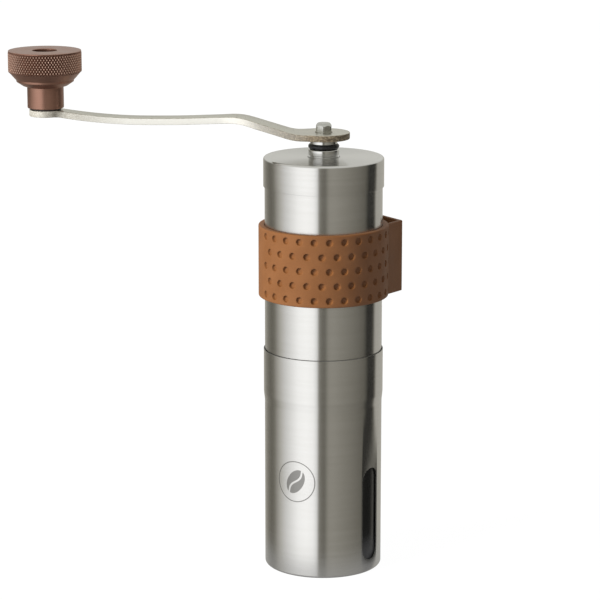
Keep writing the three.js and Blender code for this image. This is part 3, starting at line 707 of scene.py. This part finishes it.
def grip_band():
    """The silicone band: a lattice wrapped round the tube, with a polar patch for each dimple."""
    low, high = span("grip_band")
    outer, bore, edge = -low.x, 24.65, 0.5
    columns = DIMPLE_COLUMNS * DIMPLE_STEPS
    step = TURN / columns
    start = math.radians(FRONT + DIMPLE_FIRST) - DIMPLE_STEPS / 2 * step
    middle = (low.z + high.z) / 2
    centres = [middle + DIMPLE_PITCH * (k - (DIMPLE_ROWS - 1) / 2) for k in range(DIMPLE_ROWS)]
    heights = band_heights(centres, low.z + edge, high.z - edge)
    rim = rounded([
        (outer, high.z, edge),
        (bore, high.z, 0.25),
        (bore, low.z, 0.25),
        (outer, low.z, edge),
    ], 4)
    # The outline's two ends are those of the outer wall, which the lattice covers.
    outline = rim[1:-1]
    rows = len(heights)

    def lattice(column, row):
        return column % columns * (rows + len(outline)) + row

    def quad(i, j, k):
        """The face between column i and the next one, from row j to row k."""
        faces.append((lattice(i, j), lattice(i + 1, j), lattice(i + 1, k), lattice(i, k)))

    vertices = []
    for i in range(columns):
        heading = start + i * step
        vertices += [about_z(outer, heading, z) for z in heights]
        vertices += [about_z(r, heading, z) for r, z in outline]
    faces = []
    for i in range(columns):
        ring = [rows - 1, *range(rows, rows + len(outline)), 0]
        for j, k in zip(ring, ring[1:]):
            quad(i, j, k)

    def dimple_cell(column, row, heading, centre):
        """A square loop of lattice points joined to rings that sink into the dimple."""
        n = DIMPLE_STEPS
        loop = [lattice(column + n, row + n // 2 + k) for k in range(n // 2)]
        loop += [lattice(column + n - k, row + n) for k in range(n)]
        loop += [lattice(column, row + n - k) for k in range(n)]
        loop += [lattice(column + k, row) for k in range(n)]
        loop += [lattice(column + n, row + k) for k in range(n // 2)]
        for distance, depth in DIMPLE_RINGS:
            ring = []
            for k in range(4 * n):
                angle = TURN * k / (4 * n)
                turn = distance * math.cos(angle) / outer
                z = centre + distance * math.sin(angle)
                ring.append(len(vertices))
                vertices.append(about_z(outer - depth, heading + turn, z))
            for k in range(4 * n):
                m = (k + 1) % (4 * n)
                faces.append((loop[k], loop[m], ring[m], ring[k]))
            loop = ring
        vertices.append(about_z(outer - depth, heading, centre))
        for k in range(4 * n):
            faces.append((loop[k], loop[(k + 1) % (4 * n)], len(vertices) - 1))

    for r, centre in enumerate(centres):
        shift = DIMPLE_STEPS // 2 * (r % 2)
        for k in range(DIMPLE_COLUMNS):
            column, row = k * DIMPLE_STEPS + shift, r * DIMPLE_STEPS
            heading = start + (column + DIMPLE_STEPS / 2) * step
            if has_dimple(heading):
                dimple_cell(column, row, heading, centre)
                continue
            for i in range(DIMPLE_STEPS):
                for j in range(DIMPLE_STEPS):
                    quad(column + i, row + j, row + j + 1)
    band = piece("band", vertices, faces)
    combine(band, pocket_loop(outer, bore, low.z, high.z), "UNION")
    dress(band, "grip_band", "silicone", SILICONE, sharp=40)


def pocket_loop(outer, bore, low, high):
    """The flat-faced loop for the crank's pad, with its ends sunk into the band's wall."""
    # The face's distance from the axis and its half width, and the same where the sides end.
    face, half_out, root, half_in = 31.8, 12.5, 22.3, 15.6
    sunk = (outer + bore) / 2

    def end_of(start, towards):
        """Where a line from start through towards reaches the middle of the band's wall."""
        start, along = Vector(start), (Vector(towards) - Vector(start)).normalized()
        nearest = -start.dot(along)
        beside = start + along * nearest
        return tuple(start + along * (nearest - math.sqrt(sunk ** 2 - beside.length_squared)))

    wall_in = (face - POCKET_WALL, half_out - POCKET_WALL)
    outside = end_of((face, half_out), (root, half_in))
    inside = end_of(wall_in, (root - 5, half_in))
    upper = [(face, half_out, 1.1), outside, inside, (*wall_in, 0.7)]
    lower = [(p[0], -p[1], *p[2:]) for p in reversed(upper)]
    loop = prism("pocket_loop", rounded(upper + lower, 6), low, high)

    def on_rim(edge):
        return is_sharp(edge) and abs(edge.verts[0].co.z - edge.verts[1].co.z) < 1e-7

    bevel(loop, on_rim, 0.35, 3)
    loop.data.transform(Matrix.Rotation(math.radians(POCKET_HEADING), 4, "Z"))
    return loop


# ---- shaft, collar and bearings
SHAFT_R = 3.5
SHAFT_COLUMNS = 144
HEX_ACROSS = 6.4  # across the flats of the shaft's top end


def hex_radius(across, angle, blunt=0.12):
    """Distance from the axis to a hexagon with slightly blunted corners."""
    turn = (angle + math.pi / 6) % (math.pi / 3) - math.pi / 6
    return min(across / 2 / math.cos(turn), across / math.sqrt(3) - blunt)


def drive_shaft():
    """The shaft: thread, lower hexagon, round middle with its clip groove, and top hexagon."""
    low, high = span("drive_shaft")
    pitch, thread_r, thread_deep, thread_top = 0.8, 2.4, 0.3, 81
    lead_long, lead_deep, thread_rows, chamfer_rows = 0.6, 0.42, 52, 14
    drive_top, groove, hex_low = 99.5, (154.1, 155.1), 181.9
    chamfer, tip_round, groove_r, drive_across = 1.3, 0.3, 2.85, 5.6

    def thread(angle, z):
        wave = abs(((z - low.z) / pitch - angle / TURN) % 1 - 0.5) * 2
        start = min((z - low.z) / lead_long, 1)
        return thread_r - lead_deep * (1 - start) - thread_deep * (1 - wave) * start

    def drive(angle, _):
        return hex_radius(drive_across, angle)

    def head(angle, z):
        cone = SHAFT_R - 0.04 - 0.7 * max(z - high.z + chamfer, 0)
        dome = 0.35 * max(z - high.z + tip_round, 0) / tip_round
        return min(hex_radius(HEX_ACROSS, angle), cone - dome ** 2)

    step = (thread_top - low.z) / thread_rows
    rows = [(0, low.z)]
    rows += [(thread, low.z + step * k) for k in range(thread_rows + 1)]
    rows += [(drive, thread_top), (drive, drive_top), (SHAFT_R, drive_top), (SHAFT_R, groove[0])]
    rows += [(groove_r, groove[0]), (groove_r, groove[1]), (SHAFT_R, groove[1]), (SHAFT_R, hex_low)]
    rows += [(head, hex_low), (head, high.z - chamfer - 0.2)]
    rows += [(head, high.z - chamfer + chamfer * k / chamfer_rows) for k in range(chamfer_rows + 1)]
    rows += [(0, high.z)]

    def point(i, j):
        angle = TURN * i / SHAFT_COLUMNS
        radius, z = rows[j]
        return (radius(angle, z) if callable(radius) else radius), angle, z

    shaft = revolved("shaft", SHAFT_COLUMNS, len(rows), point, on_axis=True)
    dress(shaft, "drive_shaft", "nickel_steel", SHAFT_STEEL, sharp=24)


def shaft_collar():
    """The polished collar, with a thin neck line and the O-ring's groove under its flange."""
    low, high = span("shaft_collar")
    ring_low, ring_high = (corner.z for corner in span("collar_oring"))
    outer, bore, flange, neck_z = high.x, SHAFT_R + 0.05, high.x - 0.8, 175.5
    groove_low, groove_high, groove_r = ring_low - 0.1, ring_high + 0.1, high.x - 1.95
    collar = turned("collar", [
        (bore, low.z),
        (outer, low.z, 0.25),
        (outer, neck_z - 0.4),
        (outer - 0.5, neck_z - 0.25),
        (outer - 0.5, neck_z + 0.15),
        (outer, neck_z + 0.4, 0.25),
        (outer, groove_low, 0.6),
        (groove_r, groove_low),
        (groove_r, groove_high),
        (flange, groove_high, 0.12),
        (flange, high.z, 0.35),
        (bore, high.z),
    ], 128, 6)
    dress(collar, "shaft_collar", "polished_steel", POLISHED)


def collar_oring():
    """The round-sectioned ring in the collar's groove."""
    low, high = span("collar_oring")
    section = (high.z - low.z) / 2
    centre, middle, points = high.x - section, (high.z + low.z) / 2, 20

    def point(i, j):
        turn = TURN * j / points
        return centre + section * math.cos(turn), TURN * i / 96, middle + section * math.sin(turn)

    dress(revolved("o_ring", 96, points, point), "collar_oring", "black_rubber", RUBBER)


def flanged_bush(node, name):
    """A flanged plain bearing; its flange is the widest part, at its top."""
    low, high = span(node)
    bore, body, flange = SHAFT_R + 0.1, 5, 1.2
    bush = turned(name, [
        (bore, low.z, 0.2),
        (body, low.z, 0.2),
        (body, high.z - flange),
        (high.x, high.z - flange, 0.2),
        (high.x, high.z, 0.25),
        (bore, high.z, 0.25),
    ], 96, 3)
    dress(bush, node, "bearing_plastic", WHITE_PLASTIC)


def plain_ring(node, name, bore, slot, material, edge=0.15):
    """A washer or sleeve as wide and high as its CAD node, with broken edges."""
    low, high = span(node)
    centre = (low + high) / 2
    outer = high.x - centre.x
    washer = turned(name, [
        (bore, low.z - centre.z, edge),
        (outer, low.z - centre.z, edge),
        (outer, high.z - centre.z, edge),
        (bore, high.z - centre.z, edge),
    ], 96, 3)
    washer.location = centre * MM
    dress(washer, node, slot, material)


def burr_spring():
    """The coil spring over the inner burr."""
    low, high = span("burr_spring")
    wire, coils, dead, steps, sides = 0.45, 3.5, 0.55, 32, 12
    coil_r, first, last = high.x - wire, low.z + wire + 0.05, high.z - wire - 0.05
    stations = round(coils * steps) + 1
    vertices = []
    for i in range(stations):
        turns = i / steps
        rise = min(max((turns - dead) / (coils - 2 * dead), 0), 1)
        for k in range(sides):
            radius = coil_r + wire * math.cos(TURN * k / sides)
            z = first + (last - first) * rise + wire * math.sin(TURN * k / sides)
            vertices.append(about_z(radius, TURN * turns, z))
    faces = [tuple(range(sides)), tuple(range(len(vertices) - sides, len(vertices)))]
    for i in range(stations - 1):
        for k in range(sides):
            a, b = i * sides + k, i * sides + (k + 1) % sides
            faces.append((a, b, b + sides, a + sides))
    spring = piece("spring", vertices, faces)
    shade(spring, 40)
    spring.data.materials.append(TURNED)
    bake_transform(spring)
    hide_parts("burr_spring")


# ---- crank and knob
ARM_THICK = 2.7
HUB_R = 10.8
PAD_R = 6.8
STUD_HOLE_R = 2.5  # in the arm, its washer and the knob's bush
HUB_Z = 183.9
PAD_Z = 193.25
# The arm's middle line from pad to hub: x, z and bend radius of each corner.
ARM_LINE = (
    (-109.9, PAD_Z, 20), (-89.4, 190, 225), (-60, 190, 400), (-34.5, 190.8, 25), (-12.2, HUB_Z, 20)
)


def bezier(p0, p1, p2, p3, steps=12):
    """Points along a cubic curve, without its first one."""
    points = []
    for k in range(1, steps + 1):
        t = k / steps
        weights = ((1 - t) ** 3, 3 * t * (1 - t) ** 2, 3 * t * t * (1 - t), t ** 3)
        pulls = list(zip(weights, (p0, p1, p2, p3)))
        points.append(tuple(sum(weight * p[i] for weight, p in pulls) for i in (0, 1)))
    return points


def arc(centre_x, radius, first, last, steps):
    """Points round a centre on the X axis, from one angle to another."""
    angles = [first + (last - first) * k / steps for k in range(steps + 1)]
    return [(centre_x + radius * math.cos(a), radius * math.sin(a)) for a in angles]


def arm_outline(knob_x):
    """Plan view of the arm: round hub, wide shoulder, slim middle, round knob pad."""
    shoulder, slim, shoulder_x, slim_x = 7.6, 4.5, -26, -44
    neck_x, hub_leave, pad_leave = knob_x + 13.5, math.radians(112), math.radians(50)
    upper = arc(0, HUB_R, 0, hub_leave, 28)
    hub_x, hub_y = upper[-1]
    pull = (hub_x - 5.5, hub_y - 2.4)
    upper += bezier(upper[-1], pull, (shoulder_x + 7, shoulder), (shoulder_x, shoulder))
    upper += bezier(upper[-1], (shoulder_x - 7, shoulder), (slim_x + 8, slim), (slim_x, slim))
    pad = arc(knob_x, PAD_R, pad_leave, math.pi, 20)
    pad_x, pad_y = pad[0]
    upper.append((neck_x, slim))
    upper += bezier(upper[-1], (neck_x - 4, slim), (pad_x + 1.9, pad_y - 1.6), pad[0])
    upper += pad[1:]
    return upper + [(x, -y) for x, y in reversed(upper[1:-1])]


def flat_plate(name, outline, holes, stations, thick):
    """A plate with holes, cut into strips at stations along X so that it can be bent."""
    shape = bmesh.new()
    for loop in (outline, *holes):
        corners = [shape.verts.new((x, y, 0)) for x, y in loop]
        for i, corner in enumerate(corners):
            shape.edges.new((corners[i - 1], corner))
    bmesh.ops.triangle_fill(shape, use_beauty=True, use_dissolve=False, edges=shape.edges)
    for x in stations:
        everything = shape.verts[:] + shape.edges[:] + shape.faces[:]
        bmesh.ops.bisect_plane(
            shape, geom=everything, dist=1e-5, plane_co=(x, 0, 0), plane_no=(1, 0, 0)
        )
    shape.verts.index_update()
    count = len(shape.verts)
    flat = [tuple(v.co) for v in shape.verts]
    vertices = [(x, y, side * thick / 2) for side in (-1, 1) for x, y, _ in flat]
    faces = []
    for face in shape.faces:
        corners = [v.index for v in face.verts]
        faces += [tuple(reversed(corners)), tuple(c + count for c in corners)]
    for edge in shape.edges:
        if len(edge.link_faces) == 1:
            a, b = (v.index for v in edge.verts)
            faces.append((a, b, b + count, a + count))
    shape.free()
    return piece(name, vertices, faces)


def crank_arm(knob_x):
    """The bent steel arm. Its sheared edge and the burr on its rim have materials of their own."""
    turns = [TURN * k / 48 for k in range(48)]
    hub_hole = [about_z(hex_radius(HEX_ACROSS + 0.3, turn, 0.05), turn, 0)[:2] for turn in turns]
    stud_hole = arc(knob_x, STUD_HOLE_R, 0, TURN, 40)[:-1]
    line = rounded([(knob_x - PAD_R - 1, PAD_Z), *ARM_LINE, (HUB_R + 1, HUB_Z)], 12)
    stations = [x for x, _ in line[1:-1]]
    arm = flat_plate("arm", arm_outline(knob_x), (hub_hole, stud_hole), stations, ARM_THICK)
    # The angle leaves out the upright corners of the hexagonal hole.
    bevel(arm, lambda edge: is_sharp(edge, 1.2), 0.28, 3)
    # While the plate is flat: walls are sheared, and the upper bevel between is the burr.
    for face in arm.data.polygons:
        if abs(face.normal.z) < 0.97:
            face.material_index = 2 if face.normal.z > 0.3 else 1
    for vertex in arm.data.vertices:
        x, _, offset = vertex.co / MM
        i = next((k for k in range(1, len(line)) if line[k][0] >= x), len(line) - 1)
        (x0, z0), (x1, z1) = line[i - 1], line[i]
        share = (x - x0) / (x1 - x0)
        lean = lean_at(line, i - 1) * (1 - share) + lean_at(line, i) * share
        z = z0 + (z1 - z0) * share
        vertex.co.x = (x - math.sin(lean) * offset) * MM
        vertex.co.z = (z + math.cos(lean) * offset) * MM
    dress(arm, "crank_arm", "nickel_steel", NICKEL, SHEARED, BURR)


def lean_at(line, i):
    """Slope of the arm's middle line at one of its points, in radians."""
    before, after = line[max(i - 1, 0)], line[min(i + 1, len(line) - 1)]
    return math.atan2(after[1] - before[1], after[0] - before[0])


KNURLS = 76  # diamonds round the knob
KNURL_TALL = 1.88  # height of one diamond
KNURL_DEPTH = 0.42
KNURL_STEPS = 6  # mesh steps across one diamond


def crank_knob(knob_x):
    """The turned knob. Each facet of its diamond knurl is made of whole triangles."""
    low, high = span("crank_knob")
    bottom, top, outer = low.z, high.z, (high.x - low.x) / 2
    rim_low, rim_top, stem_top, stem_r, step_r = top - 8.9, top - 0.45, bottom + 8.8, 7.5, 12
    bore, counter_r, counter_low = 3.4, 5.1, top - 6
    columns = KNURLS * KNURL_STEPS
    rim_tall = rim_top - rim_low
    knurl_rows = round(KNURL_STEPS * rim_tall / KNURL_TALL)
    below = rounded([
        (bore, bottom, 0.15),
        (stem_r, bottom, 0.5),
        (stem_r, stem_top, 0.3),
        (stem_r + 0.4, stem_top + 0.3),
        (9.2, stem_top + 0.5, 0.4),
        (step_r - 0.25, rim_low - 3.85, 0.35),
        (step_r, rim_low - 2.8, 0.3),
        (step_r + 0.35, rim_low - 2.7),
        (outer - KNURL_DEPTH, rim_low),
    ], 4)[:-1]
    above = rounded([
        (outer - KNURL_DEPTH, rim_top),
        (outer - 0.1, top - 0.4),
        (outer - 0.1, top, 0.25),
        (counter_r, top, 0.3),
        (counter_r, counter_low),
        (bore, counter_low, 0.2),
    ], 4)[1:]
    first = len(below)
    rows = first + knurl_rows + 1 + len(above)

    def point(i, j):
        angle = TURN * i / columns
        if j < first:
            return below[j][0], angle, below[j][1]
        if j > first + knurl_rows:
            radius, z = above[j - first - knurl_rows - 1]
            return radius, angle, z
        row = j - first
        z = rim_low + rim_tall * row / knurl_rows
        ridge = 0
        if 0 < row < knurl_rows:
            a = abs((i + row) / KNURL_STEPS % 1 - 0.5)
            b = abs((i - row) / KNURL_STEPS % 1 - 0.5)
            ridge = min(1.5 * (1 - 2 * max(a, b)), 1)
        return outer - KNURL_DEPTH * (1 - ridge), angle, z

    def split(i, j):
        """The groove lines of the knurl run along the quads' diagonals."""
        row = j - first
        if not 0 <= row < knurl_rows:
            return None
        if (i - row) % KNURL_STEPS == 0:
            return "rising"
        return "falling" if (i + row + 1) % KNURL_STEPS == 0 else None

    knob = revolved("knob", columns, rows, point, split=split)
    knob.location.x = knob_x * MM
    material = brown_anodised(outer, rim_low - 0.1, rim_top + 0.05)
    dress(knob, "crank_knob", "brown_anodised", material, sharp=20)


def knob_stud(knob_x):
    """The slotted stud that the knob turns on."""
    low, high = span("knob_stud")
    head_r, shank_r, foot_r, head, foot = 4.3, 2.4, 3.7, 1.8, 1.3
    stud = turned("stud", [
        (0, low.z),
        (foot_r, low.z),
        (shank_r, low.z + foot),
        (shank_r, high.z - head),
        (head_r, high.z - head, 0.2),
        (head_r, high.z, 0.5),
        (0, high.z),
    ], 96)
    slot = prism("slot", [(-6, -0.5), (6, -0.5), (6, 0.5), (-6, 0.5)], high.z - 0.9, high.z + 1)
    combine(stud, slot, "DIFFERENCE")
    stud.location.x = knob_x * MM
    dress(stud, "knob_stud", "nickel_steel", SHAFT_STEEL)


# ---- CAD nodes that stay
PLASTIC_NODES = "shaft_spider", "burr_carrier", "ring_burr_retainer", "burr_hub", "adjusting_dial"
CAD_LOOKS = {
    **{node: ("black_plastic", BLACK_PLASTIC) for node in PLASTIC_NODES},
    "retaining_clip": ("turned_steel", TURNED),
    "ring_burr": ("burr_ceramic", CERAMIC),
    "inner_burr": ("burr_ceramic", CERAMIC),
    "dial_nut": ("brass", BRASS),
}


def keep_cad_nodes():
    """Finer shading and a real material for the CAD nodes that need no finer mesh."""
    for name, (slot, material) in CAD_LOOKS.items():
        obj = frame["nodes"][name]
        shade(obj, 28)
        obj.data.materials.clear()
        obj.data.materials.append(material)


# ---- studio
STEEL_TONE = 0.65  # share of light that the brushed steel gives back
# What stands round the table: heading in degrees from the front towards +X, and how bright it
# looks in the steel.
STUDIO = (
    (-180, 0.3), (-160, 0.27), (-141, 0.156), (-124, 0.1), (-112, 0.14), (-96, 0.345),
    (-78, 0.555), (-50, 0.86), (-34, 0.91), (-20, 0.86), (-12, 0.65), (-8.5, 0.16), (-3, 0.12),
    (3, 0.1), (7, 0.17), (11, 0.22), (20, 0.22), (40, 0.18), (60, 0.143), (86, 0.09), (92, 0.055),
    (96, 0.012), (115, 0.012), (119, 0.12), (124, 0.31), (150, 0.31), (180, 0.3),
)
CEILING = 0.74  # how bright the flat tops see the room
FLOOR_SEEN = (30, 62)  # how far from the foot the floor fades out of the reflections
UNDERSIDE = 0.14  # how bright it is straight below
FILL_LEFT = (0.6, 0.595, 0.58)  # soft light on matt things, from the left and from the right
FILL_RIGHT = (0.28, 0.28, 0.275)
KEY_TOWARDS = (0.77, 0.52, -0.38)  # the way that the key light shines
KEY_STRENGTH = 4.0
KEY_ANGLE = 26  # degrees that the key light fills


def studio():
    """A world of soft panels: walls by heading, a bright ceiling and a dim underside."""
    world = bpy.data.worlds.new("studio")
    bpy.context.scene.world = world
    world.use_nodes = True
    tree = world.node_tree
    x, y, z = parts_of(tree, add(tree, "TexCoord").outputs["Generated"])
    heading = calc(tree, "ARCTAN2", x, calc(tree, "MULTIPLY", y, -1))
    place = remap(tree, heading, -math.pi, math.pi, 0, 1)
    ramp = add(tree, "ValToRGB", {0: place})
    stops = ramp.color_ramp.elements
    while len(stops) < len(STUDIO):
        stops.new(0.5)
    for stop, (degrees, tone) in zip(stops, STUDIO):
        stop.position = (degrees + 180) / 360
        light = tone / STEEL_TONE
        warmth = 1 - 0.27 * max(1 - tone / 0.6, 0)
        stop.color = (light, light * warmth ** 0.25, light * warmth, 1)
    behind = calc(tree, "MAXIMUM", y, 0)
    height = calc(tree, "MULTIPLY_ADD", behind, 0.3, z)
    up = remap(tree, height, 0.25, 0.55, 0, 1)
    down = remap(tree, z, -0.55, -0.85, 0, 1)
    walls = mix(tree, up, ramp.outputs[0], (CEILING, CEILING, 0.95 * CEILING))
    room = mix(tree, down, walls, (UNDERSIDE, UNDERSIDE, 0.95 * UNDERSIDE))
    fill = mix(tree, remap(tree, x, -0.8, 0.8, 0, 1), FILL_LEFT, FILL_RIGHT)
    rays = add(tree, "LightPath").outputs
    lit = mix(tree, rays["Is Diffuse Ray"], room, fill)
    seen = mix(tree, rays["Is Camera Ray"], lit, (1, 1, 1))
    feed(tree, tree.nodes["Background"], {"Color": seen})


def key_light():
    """A wide soft light from the front left that shapes the matt pieces."""
    data = bpy.data.lights.new("key", "SUN")
    data.energy = KEY_STRENGTH
    data.angle = math.radians(KEY_ANGLE)
    obj = new_object("key", data)
    obj.rotation_euler = Vector(KEY_TOWARDS).to_track_quat("-Z", "Y").to_euler()
    obj.visible_glossy = False


def floor():
    """A plain pale floor, which glows evenly and so shows no shadow."""
    low, half = CAD_BOUNDS[0][2] / MM, 20000
    corners = [(-half, -half, low), (half, -half, low), (half, half, low), (-half, half, low)]
    plane = piece("floor", corners, [(0, 1, 2, 3)])
    material, tree, shader, coords = new_material("pale_floor")
    grain = noise(tree, coords, 300, 2)
    glossy = add(tree, "LightPath").outputs["Is Glossy Ray"]
    feed(tree, shader, {
        "Base Color": mix(tree, grain, (0.055,) * 3, (0.065,) * 3),
        "Roughness": 0.9,
        "Specular IOR Level": 0.0,
        "Emission Color": (1, 1, 1, 1),
        "Emission Strength": remap(tree, glossy, 0, 1, 0.975, 0.4),
    })
    # Reflections show the floor only near the foot, because past it a real table would end.
    near, far = FLOOR_SEEN
    gone = remap(tree, length(tree, coords), near * MM, far * MM, 0.45, 1)
    clear = add(tree, "BsdfTransparent").outputs[0]
    inputs = {0: calc(tree, "MULTIPLY", gone, glossy), 1: shader.outputs[0], 2: clear}
    mixed = add(tree, "MixShader", inputs).outputs[0]
    feed(tree, tree.nodes["Material Output"], {"Surface": mixed})
    plane.data.materials.append(material)
    plane.visible_diffuse = False


def camera():
    """A long lens in front, which looks slightly down."""
    data = bpy.data.cameras.new("camera")
    data.lens = CAMERA_LENS
    data.clip_end = 100
    obj = new_object("camera", data)
    obj.location = Vector(CAMERA_PLACE) * MM
    obj.rotation_euler = (math.radians(90 - CAMERA_PITCH), 0, math.radians(CAMERA_YAW))
    bpy.context.scene.camera = obj


# ---- assembly
KNOB_X = sum(corner.x for corner in span("crank_knob")) / 2

camera()
studio()
key_light()
floor()
cup_shell()
window_liner()
hopper_tube()
lid_shell()
grip_band()
drive_shaft()
shaft_collar()
collar_oring()
flanged_bush("upper_bush", "upper_bearing")
flanged_bush("lower_bush", "lower_bearing")
plain_ring("thrust_washer", "shaft_washer", SHAFT_R + 0.1, "turned_steel", TURNED)
plain_ring("spring_washer", "spring_seat", SHAFT_R + 0.15, "turned_steel", TURNED)
plain_ring("knob_washer", "knob_seat", STUD_HOLE_R, "black_plastic", BLACK_PLASTIC, 0.1)
plain_ring("knob_bush", "knob_sleeve", STUD_HOLE_R, "bearing_plastic", WHITE_PLASTIC)
burr_spring()
crank_arm(KNOB_X)
crank_knob(KNOB_X)
knob_stud(KNOB_X)
keep_cad_nodes()
bpy.context.scene.view_settings.view_transform = "Standard"

bpy.context.view_layer.update()
